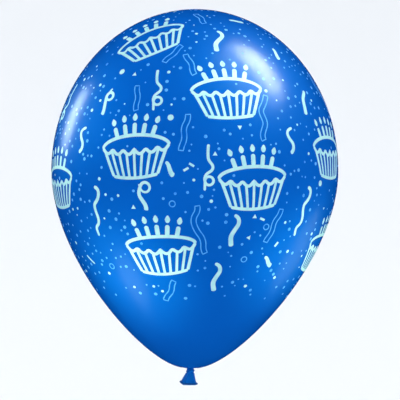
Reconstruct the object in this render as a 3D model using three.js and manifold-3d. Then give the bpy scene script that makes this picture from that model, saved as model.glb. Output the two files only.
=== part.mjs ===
// A latex party balloon, inflated and tied off, upright with its neck down.
//
// Millimetres, +Z up. The origin is the middle of the groove between the inflated body and the knot,
// where a ribbon is tied. The front faces -Y. The balloon is one dip-moulded piece of latex, so the
// meshes below are its regions, from the crown down: the inflated body, the gathered neck, the turn
// of the overhand knot, the loose tail under it, and the rolled lip of the mouth.

import * as THREE from "three";
import { mergeVertices } from "three/addons/utils/BufferGeometryUtils.js";
import Module from "manifold-3d";

// The inflated body: a half ellipsoid over a belly that tapers to the neck.
const BODY_RADIUS = 140;
const CROWN_RISE = 157.5; // from the widest circle up to the crown
const BELLY_DROP = 192.5; // from the widest circle down to the neck
const BELLY_FULLNESS = 88.5; // how far down the sides stay steep
const SHOULDER_RADIUS = 42; // how far out the underside stays nearly level
const SEAT_RADIUS = 7; // the level ring where the skin sits on the knot
const FILM = 0.3; // wall
const THROAT_RADIUS = 3.8; // the opening into the neck

// The neck: the tube below the throat, gathered and pressed into a strand.
const NECK_RADIUS = 2.9;
const NECK_TOP = 1.8; // its end stands inside the throat
const NECK_BOTTOM = -5.8;
const NECK_BEVEL = 1.25; // at both ends
const NECK_PLEATS = 6;
const NECK_PLEAT_DEPTH = 0.12; // as a share of the radius

// The knot: the turn that the strand makes around itself.
const KNOT_RADIUS = 4.2; // half of the knot's width
const KNOT_BURIED = 1.5; // how far the turn would reach into its own bore
const KNOT_CENTRE = -3.7;
const KNOT_HALF_HEIGHT = 2.0;
const KNOT_TILT = THREE.MathUtils.degToRad(12);
const SLIP_GAP = 0.3; // clearance between neighbouring regions

// The tail: the loose end of the tube, flared from the knot to an oval mouth.
const TAIL_TOP = -6.9;
const TAIL_TOP_RADIUS = 1.5;
const TAIL_BEVEL = 0.6; // round the top
const TAIL_WALL = 0.45;
const TAIL_PLEATS = 7;
const TAIL_PLEAT_DEPTH = 0.16; // as a share of the radius, at the top
const MOUTH_HALF_WIDTH = 7.9; // to the middle of the lip
const MOUTH_HALF_DEPTH = 5.6;
const MOUTH_LEAN = -1.5; // the mouth hangs to one side of the neck
const LIP_RADIUS = 1.1;
const LIP_CENTRE = -16;
const TAIL_BOTTOM = LIP_CENTRE + LIP_RADIUS + SLIP_GAP;

const BODY_STEPS = 14; // steps along the belly, and again along the dome
const TAIL_STEPS = 9;
const BODY_SIDES = 64;
const SMALL_SIDES = 36;
const KNOT_SECTION_SIDES = 14;
const LIP_SECTION_SIDES = 10;

const BALLOON_BLUE = new THREE.Color(0x0058bd);

const wasm = await Module();
wasm.setup();

function latex() {
  return new THREE.MeshStandardMaterial({
    color: BALLOON_BLUE,
    roughness: 0.25,
    metalness: 0,
  });
}

function piece(name, geometry) {
  const mesh = new THREE.Mesh(geometry, latex());
  mesh.name = name;
  return mesh;
}

// Revolves a profile of (radius, height) points about +Z.
function revolve(profile, sides) {
  return new THREE.LatheGeometry(profile, sides).rotateX(Math.PI / 2);
}

// Moves every vertex of a geometry by a function that changes the vector it is given.
function reshape(geometry, change) {
  const position = geometry.getAttribute("position");
  const point = new THREE.Vector3();
  for (let i = 0; i < position.count; i++) {
    point.fromBufferAttribute(position, i);
    change(point);
    position.setXYZ(i, point.x, point.y, point.z);
  }
  return geometry;
}

// Folds running lengthwise, each 'depth' of the radius deep.
function pleat(point, folds, depth) {
  const angle = Math.atan2(point.y, point.x);
  const share = 1 - depth * (0.5 - 0.5 * Math.cos(folds * angle));
  point.x *= share;
  point.y *= share;
}

function toSolid(geometry) {
  const bare = geometry.clone();
  bare.deleteAttribute("normal");
  bare.deleteAttribute("uv");
  const merged = mergeVertices(bare, 1e-4);
  return new wasm.Manifold(
    new wasm.Mesh({
      numProp: 3,
      vertProperties: merged.attributes.position.array,
      triVerts: new Uint32Array(merged.index.array),
    }),
  );
}

function toGeometry(solid) {
  const mesh = solid.getMesh();
  return new THREE.BufferGeometry()
    .setAttribute("position", new THREE.BufferAttribute(mesh.vertProperties, 3))
    .setIndex(new THREE.BufferAttribute(mesh.triVerts, 1));
}

// Points along a curve, each with the step through the wall to its inner face.
function stations(curve, first) {
  const found = [];
  for (let i = first; i <= BODY_STEPS; i++) {
    const along = curve.getTangentAt(i / BODY_STEPS);
    found.push({
      at: curve.getPointAt(i / BODY_STEPS),
      inward: new THREE.Vector2(-along.y, along.x).multiplyScalar(FILM),
    });
  }
  return found;
}

// A bag of one wall thickness, open only at the throat.
function body() {
  const belly = new THREE.CubicBezierCurve(
    new THREE.Vector2(SEAT_RADIUS, 0),
    new THREE.Vector2(SHOULDER_RADIUS, 0),
    new THREE.Vector2(BODY_RADIUS, BELLY_DROP - BELLY_FULLNESS),
    new THREE.Vector2(BODY_RADIUS, BELLY_DROP),
  );
  const dome = new THREE.EllipseCurve(0, BELLY_DROP, BODY_RADIUS, CROWN_RISE, 0, Math.PI / 2);
  const outline = [...stations(belly, 0), ...stations(dome, 1)];
  const outside = outline.map((station) => station.at);
  const inside = outline.map((station) => station.at.clone().add(station.inward));
  outside.at(-1).x = 0;
  inside.at(-1).x = 0;
  outside.unshift(new THREE.Vector2(THROAT_RADIUS, 0));
  inside.unshift(new THREE.Vector2(THROAT_RADIUS, FILM));
  return piece("envelope", revolve([...inside.reverse(), ...outside], BODY_SIDES));
}

// The strand, from inside the throat down through the knot, with bevelled ends.
function neck() {
  const profile = [
    [0, NECK_BOTTOM],
    [NECK_RADIUS - NECK_BEVEL, NECK_BOTTOM],
    [NECK_RADIUS, NECK_BOTTOM + NECK_BEVEL],
    [NECK_RADIUS, NECK_TOP - NECK_BEVEL],
    [NECK_RADIUS - NECK_BEVEL, NECK_TOP],
    [0, NECK_TOP],
  ].map(([radius, height]) => new THREE.Vector2(radius, height));
  const strand = revolve(profile, SMALL_SIDES);
  return piece("neck", reshape(strand, (point) => pleat(point, NECK_PLEATS, NECK_PLEAT_DEPTH)));
}

// A tilted band around the strand, with a straight bore that clears it.
function knot() {
  const bore = NECK_RADIUS + SLIP_GAP;
  const section = (KNOT_RADIUS - bore + KNOT_BURIED) / 2;
  const band = new THREE.TorusGeometry(KNOT_RADIUS - section, section, KNOT_SECTION_SIDES, SMALL_SIDES)
    .scale(1, 1, KNOT_HALF_HEIGHT / section)
    .rotateY(KNOT_TILT)
    .translate(0, 0, KNOT_CENTRE);
  const hole = new THREE.CylinderGeometry(bore, bore, 4 * KNOT_RADIUS, SMALL_SIDES)
    .rotateX(Math.PI / 2)
    .translate(0, 0, KNOT_CENTRE);
  return piece("knot", toGeometry(toSolid(band).subtract(toSolid(hole))));
}

// Carries a round tail of the mouth's half width to the real one: oval, pleated and leaning.
function hang(point) {
  const drop = THREE.MathUtils.clamp((TAIL_TOP - point.z) / (TAIL_TOP - LIP_CENTRE), 0, 1);
  pleat(point, TAIL_PLEATS, TAIL_PLEAT_DEPTH * (1 - drop));
  point.y *= THREE.MathUtils.lerp(1, MOUTH_HALF_DEPTH / MOUTH_HALF_WIDTH, drop);
  point.x += MOUTH_LEAN * drop;
}

// A bell, closed where it leaves the knot and open at the mouth.
function tail() {
  const shoulder = TAIL_TOP - TAIL_BEVEL;
  const rise = shoulder - TAIL_BOTTOM;
  const spread = MOUTH_HALF_WIDTH - TAIL_TOP_RADIUS;
  const flare = new THREE.CubicBezierCurve(
    new THREE.Vector2(TAIL_TOP_RADIUS, shoulder),
    new THREE.Vector2(TAIL_TOP_RADIUS + spread / 7, shoulder - rise / 3),
    new THREE.Vector2(MOUTH_HALF_WIDTH - spread / 4, TAIL_BOTTOM + rise / 3),
    new THREE.Vector2(MOUTH_HALF_WIDTH + TAIL_WALL / 2, TAIL_BOTTOM),
  );
  const outside = flare.getSpacedPoints(TAIL_STEPS);
  const inside = outside
    .slice(2) // the top steps stay solid
    .map((point) => new THREE.Vector2(point.x - TAIL_WALL, point.y));
  const profile = [
    new THREE.Vector2(0, TAIL_TOP),
    new THREE.Vector2(TAIL_TOP_RADIUS - TAIL_BEVEL, TAIL_TOP),
    ...outside,
    ...inside.reverse(),
    new THREE.Vector2(0, inside.at(-1).y),
  ].reverse();
  return piece("tail", reshape(revolve(profile, SMALL_SIDES), hang));
}

class MouthCurve extends THREE.Curve {
  getPoint(t, target = new THREE.Vector3()) {
    const angle = 2 * Math.PI * t;
    return target.set(
      MOUTH_LEAN + MOUTH_HALF_WIDTH * Math.cos(angle),
      MOUTH_HALF_DEPTH * Math.sin(angle),
      LIP_CENTRE,
    );
  }
}

// The rolled rim, a closed ring along the mouth.
function lip() {
  const ring = new THREE.TubeGeometry(new MouthCurve(), SMALL_SIDES, LIP_RADIUS, LIP_SECTION_SIDES, true);
  return piece("lip", ring);
}

const balloon = new THREE.Group();
balloon.name = "balloon";
balloon.add(body(), neck(), knot(), tail(), lip());

export default balloon;
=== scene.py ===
"""The looks of a printed latex party balloon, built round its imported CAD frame.

Metres, +Z up, origin in the tie groove between body and knot, front at -Y. An azimuth is measured
round the axis, 0 at the front and positive towards +X. Flat drawings for the print, and the heights
at which they and the lamps are placed, are in millimetres, and their azimuths are in degrees.
"""

import math
import random

import bmesh
import bpy
import numpy as np
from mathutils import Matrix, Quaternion, Vector, kdtree


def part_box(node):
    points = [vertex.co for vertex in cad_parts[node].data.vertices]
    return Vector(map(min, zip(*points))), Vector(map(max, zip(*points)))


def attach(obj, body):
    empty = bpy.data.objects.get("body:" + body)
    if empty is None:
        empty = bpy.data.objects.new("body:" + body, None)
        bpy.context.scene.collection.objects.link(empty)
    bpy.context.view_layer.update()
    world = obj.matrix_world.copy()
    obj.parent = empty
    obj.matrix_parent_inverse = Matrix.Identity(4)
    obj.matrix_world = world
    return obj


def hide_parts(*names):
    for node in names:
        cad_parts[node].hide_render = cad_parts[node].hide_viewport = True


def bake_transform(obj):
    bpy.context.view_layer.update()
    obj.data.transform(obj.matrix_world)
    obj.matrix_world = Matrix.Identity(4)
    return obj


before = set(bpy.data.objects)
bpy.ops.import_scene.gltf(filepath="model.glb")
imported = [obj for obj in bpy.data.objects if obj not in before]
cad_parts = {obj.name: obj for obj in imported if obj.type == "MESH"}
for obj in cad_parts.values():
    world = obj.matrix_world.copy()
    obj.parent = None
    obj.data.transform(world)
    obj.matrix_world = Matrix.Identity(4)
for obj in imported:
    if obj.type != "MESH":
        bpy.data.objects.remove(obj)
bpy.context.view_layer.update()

MM = 0.001
FULL_TURN = 2 * math.pi
QUARTER_TURN = math.pi / 2
UP = np.array([0.0, 0.0, 1.0])

# Driving sizes, from the frame.
BODY_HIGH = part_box("envelope")[1]
STRAND_RADIUS = 1.12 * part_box("neck")[1].x  # drawn a little fuller than its solid
KNOT_LOW, KNOT_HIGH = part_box("knot")
LIP_LOW, LIP_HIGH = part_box("lip")
BODY_RADIUS = BODY_HIGH.x
CROWN = BODY_HIGH.z
WIDEST = 0.55 * CROWN  # height of the widest circle
SEAT_RADIUS = 0.05 * BODY_RADIUS  # where the underside starts, level
SHOULDER_RADIUS = 0.3 * BODY_RADIUS  # how far out the underside stays nearly level
STEEP_HEIGHT = 0.54 * WIDEST  # how far down the sides stay steep
OUTLINE_STEPS = 600
KNOT_RADIUS = (KNOT_HIGH.x - KNOT_LOW.x) / 2
LIP_RADIUS = (LIP_HIGH.z - LIP_LOW.z) / 2


# ---------------------------------------------------------------- the body's outline

def belly(t):
    """The lower outline, from the neck at t 0 to the widest circle at t 1, as (radius, height)."""
    corners = np.array([
        [SEAT_RADIUS, 0],
        [SHOULDER_RADIUS, 0],
        [BODY_RADIUS, STEEP_HEIGHT],
        [BODY_RADIUS, WIDEST],
    ])
    weights = np.stack([(1 - t) ** 3, 3 * t * (1 - t) ** 2, 3 * t * t * (1 - t), t**3], axis=-1)
    return weights @ corners


def dome(t):
    """The upper outline, from the widest circle at t 0 to the crown at t 1."""
    turn = t * QUARTER_TURN
    rise = CROWN - WIDEST
    return np.stack([BODY_RADIUS * np.cos(turn), WIDEST + rise * np.sin(turn)], axis=-1)


STEPS = np.linspace(0, 1, OUTLINE_STEPS)
OUTLINE = np.vstack([belly(STEPS), dome(STEPS)[1:]])
SLOPE = np.gradient(OUTLINE, axis=0)
SLOPE /= np.linalg.norm(SLOPE, axis=1)[:, None]
RISE_ANGLE = np.arctan2(OUTLINE[:, 1] - WIDEST, OUTLINE[:, 0])  # seen from the body's centre


def outwards(azimuth):
    """The level direction out from the axis. Azimuth in radians."""
    return np.stack([np.sin(azimuth), -np.cos(azimuth), np.zeros_like(azimuth)], axis=-1)


def on_body(azimuth, rise, lift=0.0):
    """Points on the body, at an azimuth and an angle of rise in radians, lifted off the skin."""
    radius = np.interp(rise, RISE_ANGLE, OUTLINE[:, 0])
    height = np.interp(rise, RISE_ANGLE, OUTLINE[:, 1])
    along_radius = np.interp(rise, RISE_ANGLE, SLOPE[:, 0])
    along_height = np.interp(rise, RISE_ANGLE, SLOPE[:, 1])
    level = (radius + lift * along_height)[..., None] * outwards(azimuth)
    return level + (height - lift * along_radius)[..., None] * UP


def rise_at(height):
    return np.interp(height, OUTLINE[:, 1], RISE_ANGLE)


def skin_place(azimuth, height):
    """(point, normal) on the body at an azimuth in degrees and a height in metres."""
    turn = np.array(math.radians(azimuth))
    rise = rise_at(height)
    point = on_body(turn, rise)
    normal = on_body(turn, rise, 1.0) - point
    return point, normal / np.linalg.norm(normal)


# ---------------------------------------------------------------- making meshes

class Solids:
    """Closed bodies gathered into one mesh. Each is a run of equal rings of points."""

    def __init__(self):
        self.points = []
        self.faces = []

    def add(self, rings, closed=False, ends=None):
        """Skins the rings. Each end of an open run is closed by a fan, round its middle or its own
        point in ends."""
        rows, columns = rings.shape[:2]
        first = len(self.points)
        self.points.extend(map(tuple, rings.reshape(-1, 3)))
        spans = rows if closed else rows - 1
        for row in range(spans):
            here = first + row * columns
            there = first + (row + 1) % rows * columns
            for column in range(columns):
                after = (column + 1) % columns
                self.faces.append((here + column, here + after, there + after, there + column))
        if not closed:
            for place, row in enumerate((0, rows - 1)):
                middle = rings[row].mean(axis=0) if ends is None else ends[place]
                self.points.append(tuple(middle))
                pole = len(self.points) - 1
                start = first + row * columns
                for column in range(columns):
                    self.faces.append((start + column, start + (column + 1) % columns, pole))

    def piece(self, name, material, slot, crease=None):
        """The mesh as a piece of the balloon, its faces turned outwards. Edges sharper than crease,
        in degrees, stay sharp."""
        mesh = bpy.data.meshes.new(name)
        mesh.from_pydata(self.points, [], self.faces)
        edit = bmesh.new()
        edit.from_mesh(mesh)
        bmesh.ops.recalc_face_normals(edit, faces=edit.faces)
        edit.to_mesh(mesh)
        edit.free()
        mesh.shade_smooth()
        if crease is not None:
            mesh.set_sharp_from_angle(angle=math.radians(crease))
        mesh.materials.append(material)
        made = bpy.data.objects.new(name, mesh)
        bpy.context.scene.collection.objects.link(made)
        return made


def smooth_step(value, low, high):
    share = np.clip((value - low) / (high - low), 0, 1)
    return share * share * (3 - 2 * share)


# ---------------------------------------------------------------- materials

# Scales of noise, the higher the finer.
CLOUDS = 14
MOTTLE = 60
SKIN_GRAIN = 900
INK_PATCHES = 160
INK_GRAIN = 1400

GATHERED_BELOW = 0.004  # the film is thick up to here
FILLED_ABOVE = 0.05  # and thin from here up
GRAIN_DEPTH = 0.0001


def principled(name):
    material = bpy.data.materials.new(name)
    material.use_nodes = True
    return material, material.node_tree, material.node_tree.nodes["Principled BSDF"]


def add_node(tree, kind, **settings):
    made = tree.nodes.new(kind)
    for key, value in settings.items():
        if key in made.inputs:
            made.inputs[key].default_value = value
        else:
            setattr(made, key, value)
    return made


def noise(tree, coordinates, scale, detail):
    made = add_node(tree, "ShaderNodeTexNoise", Scale=scale, Detail=detail)
    tree.links.new(coordinates, made.inputs["Vector"])
    return made.outputs["Fac"]


def ranged(tree, value, low, high, to_low, to_high):
    made = add_node(tree, "ShaderNodeMapRange", interpolation_type="SMOOTHSTEP")
    settings = {"From Min": low, "From Max": high, "To Min": to_low, "To Max": to_high}
    for key, number in settings.items():
        made.inputs[key].default_value = number
    tree.links.new(value, made.inputs["Value"])
    return made.outputs["Result"]


def mixed(tree, share, first, second):
    """A mix of two colours, each a colour or a socket."""
    made = tree.nodes.new("ShaderNodeMix")
    made.data_type = "RGBA"
    tree.links.new(share, made.inputs["Factor"])
    for socket, colour in ((made.inputs[6], first), (made.inputs[7], second)):
        if isinstance(colour, bpy.types.NodeSocket):
            tree.links.new(colour, socket)
        else:
            socket.default_value = (*colour, 1)
    return made.outputs[2]


def latex(name, thin, thick, roughness, coat_roughness):
    """Dipped latex: its colour deepens in clouds and where the film is thick, and its skin has a
    faint grain. The gloss is a coat over it."""
    material, tree, shader = principled(name)
    place = tree.nodes.new("ShaderNodeTexCoord").outputs["Object"]
    clouds = ranged(tree, noise(tree, place, CLOUDS, 2), 0.35, 0.65, 0.0, 0.45)
    height = tree.nodes.new("ShaderNodeSeparateXYZ")
    tree.links.new(place, height.inputs[0])
    gathered = ranged(tree, height.outputs["Z"], GATHERED_BELOW, FILLED_ABOVE, 1.0, 0.0)
    deep = mixed(tree, clouds, thin, thick)
    tree.links.new(mixed(tree, gathered, deep, thick), shader.inputs["Base Color"])
    grain = noise(tree, place, SKIN_GRAIN, 3)
    spread = 0.04
    mottle = noise(tree, place, MOTTLE, 3)
    uneven = ranged(tree, mottle, 0.3, 0.7, roughness - spread, roughness + spread)
    tree.links.new(uneven, shader.inputs["Roughness"])
    bump = add_node(tree, "ShaderNodeBump", Strength=0.06, Distance=GRAIN_DEPTH)
    tree.links.new(grain, bump.inputs["Height"])
    tree.links.new(bump.outputs["Normal"], shader.inputs["Normal"])
    shader.inputs["Specular IOR Level"].default_value = 0.0
    shader.inputs["Coat Weight"].default_value = 1.0
    shader.inputs["Coat Roughness"].default_value = coat_roughness
    return material


def ink(name, full, worn):
    """Thin print ink, a little starved in patches where the skin has stretched it."""
    material, tree, shader = principled(name)
    place = tree.nodes.new("ShaderNodeTexCoord").outputs["Object"]
    patches = ranged(tree, noise(tree, place, INK_PATCHES, 4), 0.42, 0.72, 0.0, 1.0)
    tree.links.new(mixed(tree, patches, full, worn), shader.inputs["Base Color"])
    bump = add_node(tree, "ShaderNodeBump", Strength=0.15, Distance=GRAIN_DEPTH)
    tree.links.new(noise(tree, place, INK_GRAIN, 2), bump.inputs["Height"])
    tree.links.new(bump.outputs["Normal"], shader.inputs["Normal"])
    shader.inputs["Roughness"].default_value = 0.5
    shader.inputs["Coat Weight"].default_value = 0.5
    shader.inputs["Coat Roughness"].default_value = 0.3
    return material


SKIN_LATEX = latex("latex_body", (0.0015, 0.113, 0.565), (0.0015, 0.102, 0.515), 0.45, 0.24)
# The knot and tail latex is painted lighter than the body's latex: painted light that makes up for
# the shade the body casts on them.
LIGHTENED_KNOT_LATEX = latex("latex_knot_lightened", (0.003, 0.150, 0.62), (0.003, 0.125, 0.53), 0.45, 0.3)
LIP_LATEX = latex("latex_lip", (0.005, 0.10, 0.39), (0.004, 0.08, 0.31), 0.5, 0.35)
PRINT_INK = ink("print_ink", (0.47, 0.82, 0.88), (0.35, 0.72, 0.84))
FINE_INK = ink("print_ink_fine", (0.09, 0.42, 0.88), (0.02, 0.25, 0.78))


# ---------------------------------------------------------------- latex pieces

def full_circle(sides):
    return np.linspace(0, FULL_TURN, sides, endpoint=False)


def folds(azimuth, counts, shifts):
    """A wave round the axis from several counts of folds, between -1 and 1."""
    waves = [np.cos(count * azimuth + shift) for count, shift in zip(counts, shifts)]
    return sum(waves) / len(waves)


def skin():
    """The filled body and the gathered strand under it, as one unbroken closed skin."""
    dome_rows = 72
    belly_rows = 84
    seat_rows = 3
    corner_rows = 9
    shaft_rows = 12
    upper = dome(1 - np.linspace(0, 1, dome_rows)[1:])
    lower = belly(1 - np.linspace(0, 1, belly_rows)[1:])
    fillet = 1.2 * MM
    inwards = np.linspace(lower[-1, 0], STRAND_RADIUS + fillet, seat_rows + 2)[1:-1]
    seat = np.stack([inwards, np.zeros(seat_rows)], axis=-1)
    turn = np.linspace(0, QUARTER_TURN, corner_rows)
    corner_radius = STRAND_RADIUS + fillet * (1 - np.sin(turn))
    corner = np.stack([corner_radius, fillet * (np.cos(turn) - 1)], axis=-1)
    shaft_top = -1.6
    shaft_foot = -6.0  # inside the knot
    down = np.linspace(shaft_top, shaft_foot, shaft_rows) * MM
    shaft = np.stack([np.full(shaft_rows, STRAND_RADIUS), down], axis=-1)
    profile = np.vstack([upper, lower, seat, corner, shaft])
    along = np.gradient(profile, axis=0)
    along /= np.linalg.norm(along, axis=1)[:, None]
    azimuth = full_circle(256)
    gathers = folds(azimuth, (13, 19, 8), (0.4, 2.1, 4.0))
    gather_depth = 0.3 * MM
    full_within = 0.006  # the radius where the gathers begin to fade
    gone_beyond = 0.036
    fade = smooth_step(profile[:, 0], full_within, gone_beyond)
    depth = gather_depth * (1 - fade) * (profile[:, 1] < WIDEST)
    push = depth[:, None] * gathers[None, :]
    radius = profile[:, 0][:, None] - push * along[:, 1][:, None]
    height = profile[:, 1][:, None] + push * along[:, 0][:, None]
    rings = radius[..., None] * outwards(azimuth)[None] + height[..., None] * UP
    made = Solids()
    made.add(rings, ends=((0, 0, CROWN), (0, 0, -6.2 * MM)))
    body = made.piece("balloon_skin", SKIN_LATEX, "latex")
    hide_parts("envelope", "neck")
    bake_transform(body)


def knot():
    """The overhand turn: a fat creased strand wound about one and a half times round the neck, its
    ends tucked under."""
    turns = 1.45
    t = np.linspace(0, 1, 120)
    strand = 0.36 * KNOT_RADIUS  # half of its thickness
    turn = math.radians(-100) + t * turns * FULL_TURN
    tuck = smooth_step(t, 0, 0.2) * smooth_step(1 - t, 0, 0.2)
    radius = (KNOT_RADIUS - strand) * (0.45 + 0.55 * tuck)
    top = KNOT_HIGH.z - strand
    drop = KNOT_HIGH.z - KNOT_LOW.z - 2 * strand
    height = top - drop * smooth_step(t, 0.05, 0.95)
    around = full_circle(40)
    creases = np.cos(7 * around[None, :] + 9 * t[:, None])
    crumples = np.cos(3 * around[None, :] - 38 * t[:, None])
    bulge = 1 + (0.06 * creases + 0.05 * crumples) * tuck[:, None]
    out = outwards(turn)
    swell = bulge[..., None] * (0.75 + 0.25 * tuck)[:, None, None]
    level = strand * np.cos(around)[None, :, None] * out[:, None, :]
    rise = strand * np.sin(around)[None, :, None] * UP
    centre = radius[:, None] * out + height[:, None] * UP
    made = Solids()
    made.add(centre[:, None, :] + swell * (level + rise))
    wrap = made.piece("overhand_knot", LIGHTENED_KNOT_LATEX, "latex")
    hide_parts("knot")
    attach(wrap, "knot")


MOUTH_MIDDLE = np.array([
    (LIP_LOW.x + LIP_HIGH.x) / 2,
    (LIP_LOW.y + LIP_HIGH.y) / 2,
    (LIP_LOW.z + LIP_HIGH.z) / 2,
])
MOUTH_WIDTH = (LIP_HIGH.x - LIP_LOW.x) / 2 - LIP_RADIUS
MOUTH_DEPTH = (LIP_HIGH.y - LIP_LOW.y) / 2 - LIP_RADIUS
MOUTH_LIFT = 1.7 * MM  # one end of the mouth is folded up


def mouth(angle):
    """The middle line of the lip, at angles in radians anticlockwise from +X, seen from above."""
    lift = MOUTH_LIFT * smooth_step(-np.cos(angle), 0.6, 1.0)
    wobble = 0.12 * MM * np.cos(3 * angle + 1)
    return MOUTH_MIDDLE + np.stack([
        (MOUTH_WIDTH + wobble) * np.cos(angle),
        (MOUTH_DEPTH + wobble) * np.sin(angle),
        lift,
    ], axis=-1)


def tail():
    """The loose end of the tube, gathered at the knot and flared to the mouth, open below."""
    wall = 0.45 * MM
    gather_depth = 0.55 * MM
    root_radius = 0.92 * KNOT_RADIUS
    root = -4.7 * MM  # its height, up inside the knot
    hollow_from = 0.3  # the share of its length above which it is gathered shut
    angle = full_circle(128)
    rim = mouth(angle)
    spoke = np.stack([np.cos(angle), np.sin(angle), np.zeros_like(angle)], axis=-1)
    top = root_radius * spoke + root * UP
    wave = folds(angle, (7, 11, 4), (0.6, 3.0, 1.2))

    def sheet(share, inset):
        """Rings down the tail at these shares of its length, moved inwards by an inset."""
        spread = (share[:, None] ** (1.35 + 0.35 * np.cos(angle)))[..., None]
        tuck = 0.8 + 0.2 * smooth_step(share, 0, 0.14)
        level = tuck[:, None, None] * top[None] * (1 - spread) + rim[None] * spread
        fullness = np.sin(math.pi * share**0.7) ** 0.7  # none at the root or at the rim
        gather = (gather_depth * fullness)[:, None] * wave[None]
        moved = level + (gather - inset)[..., None] * spoke[None]
        moved[..., 2] = root + (rim[None, :, 2] - root) * share[:, None]
        return moved

    outside = sheet(np.linspace(0, 1, 34), 0.0)
    inside = sheet(np.linspace(1, hollow_from, 24), wall)
    rings = np.concatenate([outside, inside])
    made = Solids()
    made.add(rings, ends=((0, 0, root), rings[-1].mean(axis=0) + 0.6 * MM * UP))
    skirt = made.piece("tail_skirt", LIGHTENED_KNOT_LATEX, "latex")
    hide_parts("tail")
    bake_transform(skirt)


def lip():
    """The rolled bead round the mouth, with the edge of the roll as a groove inside."""
    angle = full_circle(144)
    around = full_circle(24)
    middle = mouth(angle)
    along = np.roll(middle, -1, axis=0) - np.roll(middle, 1, axis=0)
    along /= np.linalg.norm(along, axis=1)[:, None]
    side = np.cross(along, UP)
    side /= np.linalg.norm(side, axis=1)[:, None]
    up = np.cross(side, along)
    groove_depth = 0.16  # as a share of the bead's radius
    groove_angle = 3.6  # round the bead's section, in radians
    groove_width = 0.28
    groove = 1 - groove_depth * np.exp(-((around - groove_angle) / groove_width) ** 2)
    radius = LIP_RADIUS * groove[None, :] * (1 + 0.04 * np.cos(9 * angle))[:, None]
    level = side[:, None] * np.cos(around)[None, :, None]
    rise = up[:, None] * np.sin(around)[None, :, None]
    made = Solids()
    made.add(middle[:, None] + radius[..., None] * (level + rise), closed=True)
    bead = made.piece("rolled_lip", LIP_LATEX, "latex")
    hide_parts("lip")
    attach(bead, "tail")


# ---------------------------------------------------------------- wrapping flat drawings

INK_TOP = 0.09 * MM  # how far the ink stands off the skin
INK_ROOT = -0.06 * MM  # and how deep it sits in it
CROSSING = 0.04 * MM  # a stroke rises this much along its way, so that it passes over itself


def wrap(flat, place, lift):
    """Lays flat points on the body round a place, which is (azimuth, height, tilt), by looking
    through them from the body's centre."""
    azimuth, height, tilt = place
    turn = math.radians(azimuth)
    point, normal = skin_place(azimuth, height * MM)
    right = np.array([math.cos(turn), math.sin(turn), 0])
    up = np.cross(normal, right)
    lean = math.radians(tilt)
    across = flat[..., 0] * math.cos(lean) - flat[..., 1] * math.sin(lean)
    along = flat[..., 0] * math.sin(lean) + flat[..., 1] * math.cos(lean)
    seen = point - WIDEST * UP + MM * (across[..., None] * right + along[..., None] * up)
    rise = np.arctan2(seen[..., 2], np.hypot(seen[..., 0], seen[..., 1]))
    return on_body(np.arctan2(seen[..., 0], -seen[..., 1]), rise, lift)


def spaced(line, marks):
    """Points on a line at these distances from its start."""
    steps = np.linalg.norm(np.diff(line, axis=0), axis=1)
    distance = np.concatenate([[0], np.cumsum(steps)])
    return np.stack([np.interp(marks, distance, line[:, axis]) for axis in (0, 1)], axis=-1)


def length_of(line):
    return np.linalg.norm(np.diff(line, axis=0), axis=1).sum()


def stroke(made, place, line, width, end_width=None):
    """A stroke of ink with round ends. Its width runs from width to end_width."""
    length = length_of(line)
    cap = width / 2
    step = 1.3
    near = cap * np.array([0.03, 0.15, 0.4, 0.75])  # closer points, for the round ends
    middle = np.linspace(cap, length - cap, max(2, round((length - 2 * cap) / step) + 1))
    marks = np.concatenate([near, middle, length - near[::-1]])
    points = spaced(line, marks)
    ahead = np.gradient(points, axis=0)
    ahead /= np.linalg.norm(ahead, axis=1)[:, None]
    share = marks / length
    half = (width + ((end_width or width) - width) * share) / 2
    to_end = np.minimum(np.minimum(marks, length - marks) / cap, 1)
    half = half * np.sqrt(1 - (1 - to_end) ** 2)
    aside = np.stack([-ahead[:, 1], ahead[:, 0]], axis=-1) * half[:, None]
    flat = np.stack([points + aside, points - aside, points - aside, points + aside], axis=1)
    top = INK_TOP + CROSSING * share
    root = np.full_like(top, INK_ROOT)
    made.add(wrap(flat, place, np.stack([top, top, root, root], axis=1)))


def loop(made, place, line, width):
    """A closed stroke of ink."""
    ahead = np.roll(line, -1, axis=0) - np.roll(line, 1, axis=0)
    ahead /= np.linalg.norm(ahead, axis=1)[:, None]
    aside = np.stack([-ahead[:, 1], ahead[:, 0]], axis=-1) * width / 2
    flat = np.stack([line + aside, line - aside, line - aside, line + aside], axis=1)
    lift = np.broadcast_to([INK_TOP, INK_TOP, INK_ROOT, INK_ROOT], flat.shape[:2])
    made.add(wrap(flat, place, lift), closed=True)


def blot(made, place, outline):
    """A small filled shape of ink, star-shaped round its middle."""
    middle = outline.mean(axis=0)
    rings = np.stack([
        wrap(outline, place, INK_ROOT),
        wrap(outline, place, INK_TOP * 0.7),
        wrap(middle + 0.8 * (outline - middle), place, INK_TOP),
    ])
    poles = [wrap(middle, place, lift) for lift in (INK_ROOT, INK_TOP)]
    made.add(rings, ends=poles)


def oval(width, height, sides=12):
    angle = full_circle(sides)
    return np.stack([width / 2 * np.cos(angle), height / 2 * np.sin(angle)], axis=-1)


# ---------------------------------------------------------------- the printed motifs

BASE_HALF = 22  # half of the cup's width at its foot
RIM_HALF = 31  # and at its rim
BASE_HEIGHT = -30
RIM_HEIGHT = -5
BASE_BOW = 2.5  # how far the foot's ends turn up
RIM_BOW = 3.5
FLUTES = 8
SCALLOPS = 6
ICING_HALF = 33.5
ICING_RISE = 10
CUP_LINE = 3.0
FLUTE_LINE = 2.5
ICING_LINE = 3.2
CANDLES = 5
CANDLE_SPREAD = 17  # from the middle candle to the outermost
CANDLE_HEIGHT = 11
CANDLE_WIDTH = 4.2
FLAME_WIDTH = 5.0
FLAME_HEIGHT = 7.4
FLAME_RISE = 16.5  # from a candle's foot to its flame's middle
FAN = 0.32  # how far the outermost candles lean, in radians


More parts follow.
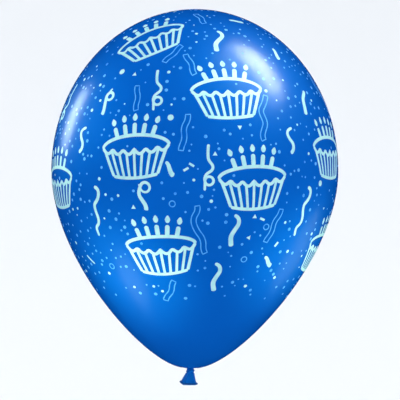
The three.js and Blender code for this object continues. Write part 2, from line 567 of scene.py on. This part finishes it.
def cup(made, place, span):
    """The fluted paper cup, with the icing's scalloped edge over its rim."""
    base = np.stack([BASE_HALF * span, BASE_HEIGHT + BASE_BOW * span**2], axis=-1)
    stroke(made, place, base, CUP_LINE)
    for flute in range(FLUTES + 1):
        f = -1 + 2 * flute / FLUTES
        foot = np.array([BASE_HALF * f, BASE_HEIGHT + BASE_BOW * f * f])
        head = np.array([RIM_HALF * f, RIM_HEIGHT - 1.5 + RIM_BOW * f * f])
        width = CUP_LINE if flute in (0, FLUTES) else FLUTE_LINE
        stroke(made, place, np.stack([foot, head]), width)
    dip = 4.5 * np.abs(np.sin(SCALLOPS / 2 * math.pi * (span + 1)))
    rim = np.stack([RIM_HALF * span, RIM_HEIGHT + RIM_BOW * span**2], axis=-1)
    stroke(made, place, rim + np.stack([2.5 * span, 1 - dip], axis=-1), CUP_LINE)


def candle(made, place, f):
    """A candle with its flame, from f -1 for the leftmost to 1 for the rightmost."""
    foot = np.array([CANDLE_SPREAD * f, 9.5 - 2.5 * f * f])
    lean = np.array([math.sin(FAN * f), math.cos(FAN * f)])
    stroke(made, place, np.stack([foot, foot + CANDLE_HEIGHT * lean]), CANDLE_WIDTH)
    flame = oval(FLAME_WIDTH, FLAME_HEIGHT)
    flame[:, 0] *= 1 - 0.45 * np.clip(flame[:, 1] / (FLAME_HEIGHT / 2), 0, 1)  # narrow at the top
    turned = flame @ np.array([[lean[1], -lean[0]], [lean[0], lean[1]]])
    blot(made, place, foot + FLAME_RISE * lean + turned)


def cake(made, place):
    """A cupcake with domed icing and fanned candles, 70 mm wide."""
    span = np.linspace(-1, 1, 41)
    cup(made, place, span)
    turn = span * QUARTER_TURN
    icing = np.stack([ICING_HALF * np.sin(turn), -1 + ICING_RISE * np.cos(turn)], axis=-1)
    stroke(made, place, icing, ICING_LINE)
    for index in range(CANDLES):
        candle(made, place, -1 + 2 * index / (CANDLES - 1))


def winding(heading, *arcs):
    """A flat line of arcs, each (length, turn in degrees), centred on its box."""
    step = 0.5
    points = [(0.0, 0.0)]
    direction = math.radians(heading)
    for length, turn in arcs:
        count = max(1, round(length / step))
        for _ in range(count):
            direction += math.radians(turn) / count / 2
            x, y = points[-1]
            reach = length / count
            points.append((x + reach * math.cos(direction), y + reach * math.sin(direction)))
            direction += math.radians(turn) / count / 2
    line = np.array(points)
    return line - (line.min(axis=0) + line.max(axis=0)) / 2


CURL = winding(-97, (12, 12), (4, 35), (3, 0), (7, -95), (3, 0), (10, 85), (22, 330), (9, 0))
RINGLET = winding(-70, (5, 0), (24, 310), (6, 15), (6, 45), (6, 0), (7, -45))
KINKED = winding(-125, (7, 5), (23, 350), (4, 45), (10, 0), (7, -25))
BEND = winding(-20, (7, -65), (6, -45), (8, 5), (6, 35), (7, 0))
HOOK = winding(188, (6, 45), (4, 60), (7, 30), (5, -45), (8, -65))
DROP = winding(
    25, (6, -80), (4, -35), (9, -35), (5, 55), (7, 15), (6, -25), (6, -50), (5, 65), (6, 0),
)
ESS = winding(-35, (5, -45), (5, 5), (5, 35))
TICK = winding(-60, (12, 15))
LONG = winding(-75, (4, -45), (4, 5), (6, 30), (13, 5))

# Streamers as (line, width at the top, width at the foot).
STREAMERS = {
    "curl": (CURL, 2.7, 2.3),
    "ringlet": (RINGLET, 1.7, 4.0),
    "kinked": (KINKED, 1.8, 3.8),
    "bend": (BEND, 3.3, 4.6),
    "hook": (HOOK, 2.6, 3.5),
    "drop": (DROP, 3.6, 2.6),
    "ess": (ESS, 3.0, 4.6),
    "tick": (TICK, 2.0, 1.6),
    "long": (LONG, 3.6, 4.8),
}

# Outlined streamers, drawn as a hairline round a band.
BANDS = {
    "short": winding(-100, (8, 25), (9, -35), (8, 30)),
    "tall": winding(-70, (8, -45), (10, 50), (11, 20), (12, -40), (8, 30)),
    "middle": winding(-75, (9, -35), (9, 40), (10, -35), (6, 20)),
    "wavy": winding(-105, (9, -15), (5, -5), (7, 55), (5, 0), (7, -45), (6, 5), (7, 50)),
}
BAND_WIDTH = 4.6
HAIRLINE = 1.0


def outline_of(line):
    """The closed edge of a band along a line."""
    length = length_of(line)
    step = 1.2
    points = spaced(line, np.linspace(0, length, round(length / step)))
    ahead = np.gradient(points, axis=0)
    ahead /= np.linalg.norm(ahead, axis=1)[:, None]
    aside = np.stack([-ahead[:, 1], ahead[:, 0]], axis=-1) * BAND_WIDTH / 2
    return np.concatenate([points + aside, (points - aside)[::-1]])


# The print as it lies on the front, as (azimuth, height, tilt, which). The back repeats it.
CAKES = [
    (-23, 212, 4), (13, 266, 4), (22.5, 186, 4), (-14, 122, 4), (-31, 316, 38),
    (66, 217, 0), (-68, 183, 0), (78, 125, 0),
]
RIBBONS = [
    (12.5, 311, 0, "bend"), (-16, 263, 6, "curl"), (-38, 252, 0, "kinked"),
    (-49, 217, -12, "hook"), (-42, 151, -17, "drop"), (-18.5, 166, 4, "ringlet"),
    (5.5, 193, 0, "curl"), (39, 220, -4, "hook"), (52, 257, -14, "long"),
    (17, 137, 10, "bend"), (12, 94, 14, "bend"), (48, 155, -16, "drop"),
    (36.5, 109, 24, "ess"), (-9, 191, 6, "ess"), (-56, 106, 6, "tick"),
    (47, 302, -28, "ess"), (36, 334, 60, "ess"), (-71, 253, -14, "curl"),
]
HAIRLINES = [
    (-24.5, 255, 10, "short"), (-3, 287, 24, "short"), (-12, 297, -30, "short"),
    (-4, 224, -8, "middle"), (28, 240, 0, "wavy"), (3, 137, -6, "tall"), (34, 142, -16, "middle"),
    (-11.5, 80, -22, "short"), (2, 335, 20, "short"), (76, 270, 8, "tall"),
]
TRIANGLES = [
    (-23.5, 156, 90), (-28.5, 277, 90), (7.5, 205, 90), (23.5, 131, 60), (24.5, 150, 90),
    (17, 230, -90),
]
RINGS = [(-8, 160, 0), (23.5, 111, 0), (-41.5, 101, 0), (30.5, 141, 0)]
BARS = [(38, 125, 60), (28, 148, -20), (-3, 191, 30), (-1, 195, -30)]
BIG_DOTS = [(-9.5, 237, 0), (-36, 280, 0), (57, 182, 0)]
BACK = 180

BAR = np.array([[-2.6, -1], [0, -1.1], [2.6, -1], [2.6, 1], [0, 1.1], [-2.6, 1]])
RING = oval(5.4, 5.4, 20)
TRIANGLE = oval(5, 5, 3)
BIG_DOT = oval(5.6, 5.6, 16)

DOT_SEED = 7
DOTS = 1200
DOT_TRIES = 9000
DOT_SIZES = (1.6, 2.1, 2.7, 3.3)
BOLD_EVERY = 8  # one dot in so many is in the bold ink
MOTIF_GAP = 3.5 * MM  # from a dot's middle to any other motif
DOT_GAP = 4.7 * MM  # between the middles of two dots
PRINT_LOWEST = 72 * MM
PRINT_HIGHEST = 0.995 * CROWN


def both_sides(places):
    """The places at the front, and then the same at the back. Each starts with its azimuth."""
    return [(azimuth + turn, *rest) for turn in (0, BACK) for azimuth, *rest in places]


def confetti(taken, bold, fine):
    """Small round dots scattered over the printed zone, clear of the motifs and of each other."""
    chance = random.Random(DOT_SEED)
    tree = kdtree.KDTree(len(taken))
    for index, point in enumerate(taken):
        tree.insert(point, index)
    tree.balance()
    lowest = rise_at(PRINT_LOWEST)
    highest = rise_at(PRINT_HIGHEST)
    placed = []
    for _ in range(DOT_TRIES):
        if len(placed) == DOTS:
            break
        rise = math.asin(chance.uniform(math.sin(lowest), math.sin(highest)))
        azimuth = chance.uniform(-180, 180)
        size = chance.choice(DOT_SIZES)
        height = float(np.interp(rise, RISE_ANGLE, OUTLINE[:, 1]))
        point = skin_place(azimuth, height)[0]
        if tree.find(point)[2] < MOTIF_GAP:
            continue
        if placed and min(math.dist(point, other) for other in placed) < DOT_GAP:
            continue
        placed.append(point)
        layer = bold if len(placed) % BOLD_EVERY == 0 else fine
        blot(layer, (azimuth, height / MM, 0), oval(size, size, 10))


def prints():
    """The four layers of print, each a piece that lies on the skin."""
    cakes = Solids()
    for place in both_sides(CAKES):
        cake(cakes, place)
    streamers = Solids()
    for *place, which in both_sides(RIBBONS):
        line, width, foot = STREAMERS[which]
        stroke(streamers, place, line, width, foot)
    hairlines = Solids()
    for *place, which in both_sides(HAIRLINES):
        loop(hairlines, place, outline_of(BANDS[which]), HAIRLINE)
    for place in both_sides(RINGS):
        loop(hairlines, place, RING, HAIRLINE)
    for shape, places in ((BAR, BARS), (TRIANGLE, TRIANGLES), (BIG_DOT, BIG_DOTS)):
        for place in both_sides(places):
            blot(streamers, place, shape)
    dots = Solids()
    confetti(cakes.points + streamers.points + hairlines.points, streamers, dots)
    layers = (
        ("print_cakes", cakes, PRINT_INK),
        ("print_streamers", streamers, PRINT_INK),
        ("print_hairlines", hairlines, FINE_INK),
        ("print_confetti", dots, FINE_INK),
    )
    for name, solids, colour in layers:
        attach(solids.piece(name, colour, "print_ink", crease=40), "envelope")


skin()
knot()
tail()
lip()
prints()


# ---------------------------------------------------------------- camera

LENS = 135
SENSOR = 36
FRAME_WIDTH = 0.392  # what the frame spans at the balloon's axis
FRAME_MIDDLE = Vector((0.0057, 0, 0.164))
CAMERA_ROLL = math.radians(1.3)  # the balloon's axis leans a little to the right
CLIP_NEAR = 0.05
CLIP_FAR = 60


def camera():
    data = bpy.data.cameras.new("camera")
    data.lens = LENS
    data.sensor_width = SENSOR
    data.clip_start = CLIP_NEAR
    data.clip_end = CLIP_FAR
    made = bpy.data.objects.new("camera", data)
    made.location = FRAME_MIDDLE + Vector((0, -FRAME_WIDTH * LENS / SENSOR, 0))
    level = Vector((0, 1, 0)).to_track_quat("-Z", "Y")
    made.rotation_mode = "QUATERNION"
    made.rotation_quaternion = level @ Quaternion((0, 0, 1), CAMERA_ROLL)
    bpy.context.scene.collection.objects.link(made)
    bpy.context.scene.camera = made
    return made


CAMERA = camera()


# ---------------------------------------------------------------- studio

FLOOR = -0.9
BOWL_RADIUS = 7.0
BOWL_ROUND = 3.0
BOWL_TOP = 6.0
BOWL_SIDES = 96
SOFTBOX_DISTANCE = 1.1
GLOW_DISTANCE = 1.0
GLOW_COLOUR = (1.0, 1.0, 0.6)
BOWL_COLOUR = (0.74, 0.775, 0.82)
BOWL_LIGHT = (0.93, 0.96, 1.0)
SKY_COLOUR = (0.93, 0.955, 1.0)
SUN_SPREAD = 60  # in degrees
SUN_RISE = 0.25  # how much stronger the sun at the zenith is, as a share


def bowl():
    """A pale floor that curves up into a round wall, so that every view has the same backdrop."""
    turn = np.linspace(0, QUARTER_TURN, 24)[1:]
    flat_radius = np.linspace(0.5, BOWL_RADIUS - BOWL_ROUND, 8)
    flat = np.stack([flat_radius, np.full_like(flat_radius, FLOOR)], axis=-1)
    cove = np.stack([
        BOWL_RADIUS - BOWL_ROUND + BOWL_ROUND * np.sin(turn),
        FLOOR + BOWL_ROUND - BOWL_ROUND * np.cos(turn),
    ], axis=-1)
    wall = np.array([[BOWL_RADIUS, BOWL_TOP]])
    profile = np.vstack([flat, cove, wall])
    radius = profile[:, 0][:, None, None]
    height = profile[:, 1][:, None, None]
    rings = radius * outwards(full_circle(BOWL_SIDES))[None] + height * UP
    points = [(0, 0, FLOOR), *map(tuple, rings.reshape(-1, 3))]
    faces = [(0, 1 + (k + 1) % BOWL_SIDES, 1 + k) for k in range(BOWL_SIDES)]
    for row in range(len(profile) - 1):
        here = 1 + row * BOWL_SIDES
        there = here + BOWL_SIDES
        for k in range(BOWL_SIDES):
            after = (k + 1) % BOWL_SIDES
            faces.append((here + k, here + after, there + after, there + k))
    mesh = bpy.data.meshes.new("studio_bowl")
    mesh.from_pydata(points, [], faces)
    mesh.shade_smooth()
    material, _, shader = principled("studio_white")
    shader.inputs["Base Color"].default_value = (*BOWL_COLOUR, 1)
    shader.inputs["Roughness"].default_value = 0.9
    shader.inputs["Specular IOR Level"].default_value = 0.0
    shader.inputs["Emission Color"].default_value = (*BOWL_LIGHT, 1)
    shader.inputs["Emission Strength"].default_value = 0.1
    mesh.materials.append(material)
    made = bpy.data.objects.new("studio_bowl", mesh)
    made.visible_glossy = False
    made.visible_diffuse = False
    made.visible_shadow = False
    bpy.context.scene.collection.objects.link(made)


def sky():
    """White beyond the bowl, for the camera alone."""
    world = bpy.data.worlds.new("studio")
    world.use_nodes = True
    world.node_tree.nodes["Background"].inputs["Color"].default_value = (*SKY_COLOUR, 1)
    bpy.context.scene.world = world
    world.cycles_visibility.diffuse = False
    world.cycles_visibility.glossy = False


def aim(made, place, target):
    made.location = Vector(place)
    made.rotation_mode = "QUATERNION"
    made.rotation_quaternion = (Vector(target) - Vector(place)).to_track_quat("-Z", "Y")


def lamp(name, kind, gloss, **settings):
    """A lamp that lights either the gloss or the colour of the skin, and isn't seen itself."""
    data = bpy.data.lights.new(name, kind)
    for key, value in settings.items():
        setattr(data, key, value)
    data.cycles.use_multiple_importance_sampling = False
    made = bpy.data.objects.new(name, data)
    made.visible_camera = False
    made.visible_diffuse = not gloss
    made.visible_glossy = gloss
    bpy.context.scene.collection.objects.link(made)
    return made


def fill(count, strength):
    """Soft light from all round, a little stronger from above: suns that spiral over a sphere."""
    for index in range(count):
        height = 1 - (2 * index + 1) / count
        turn = index * math.pi * (3 - math.sqrt(5))
        level = math.sqrt(1 - height * height)
        place = (level * math.cos(turn), level * math.sin(turn), height)
        energy = strength * (1 + SUN_RISE * height)
        sun = lamp(f"fill_{index}", "SUN", False, energy=energy, angle=math.radians(SUN_SPREAD))
        aim(sun, place, (0, 0, 0))


def softbox(name, azimuth, height, size, power, turn, red):
    """A softbox for the gloss, placed so that the camera sees it mirrored at that place on the
    body. Its size is in metres, its turn in degrees, and red is the share of red in its light."""
    point, normal = skin_place(azimuth, height * MM)
    to_camera = np.array(CAMERA.location) - point
    to_camera /= np.linalg.norm(to_camera)
    mirrored = 2 * normal.dot(to_camera) * normal - to_camera
    made = lamp(name, "AREA", True, shape="ELLIPSE", size=size[0], size_y=size[1], energy=power,
                color=(red, 1.0, 1.0))
    aim(made, point + SOFTBOX_DISTANCE * mirrored, point)
    made.rotation_quaternion = made.rotation_quaternion @ Quaternion((0, 0, 1), math.radians(turn))


def glow(name, azimuth, height, spread, power):
    """A soft round patch of light on the body, spread being its radius in millimetres."""
    point, normal = skin_place(azimuth, height * MM)
    cone = 2 * math.atan(spread * MM / GLOW_DISTANCE)
    made = lamp(name, "SPOT", False, energy=power, color=GLOW_COLOUR, spot_size=cone,
                spot_blend=1.0, shadow_soft_size=0.05)
    aim(made, point + GLOW_DISTANCE * normal, point)


bowl()
sky()
fill(14, 0.86)
softbox("key_box", 31.3, 286.5, (0.72, 0.3), 8.4, 66, 0.9)
softbox("key_veil", 26, 281, (1.0, 0.9), 4.4, 66, 0.72)
softbox("left_strip", -58.8, 240, (0.19, 0.46), 2.3, -6, 0.75)
softbox("low_panel", -31.5, 89, (0.4, 0.4), 0.5, 0, 0.72)
softbox("right_panel", 54, 120, (0.4, 0.6), 0.35, -20, 0.72)
glow("key_glow", 28, 283, 52, 80)
glow("low_glow", -31, 82, 36, 112)
glow("side_glow", -36, 108, 34, 76)
glow("right_glow", 54, 117, 36, 118)
glow("foot_glow", 49, 93, 26, 62)
glow("left_glow", -57, 238, 42, 85)

bpy.context.scene.view_settings.view_transform = "Standard"
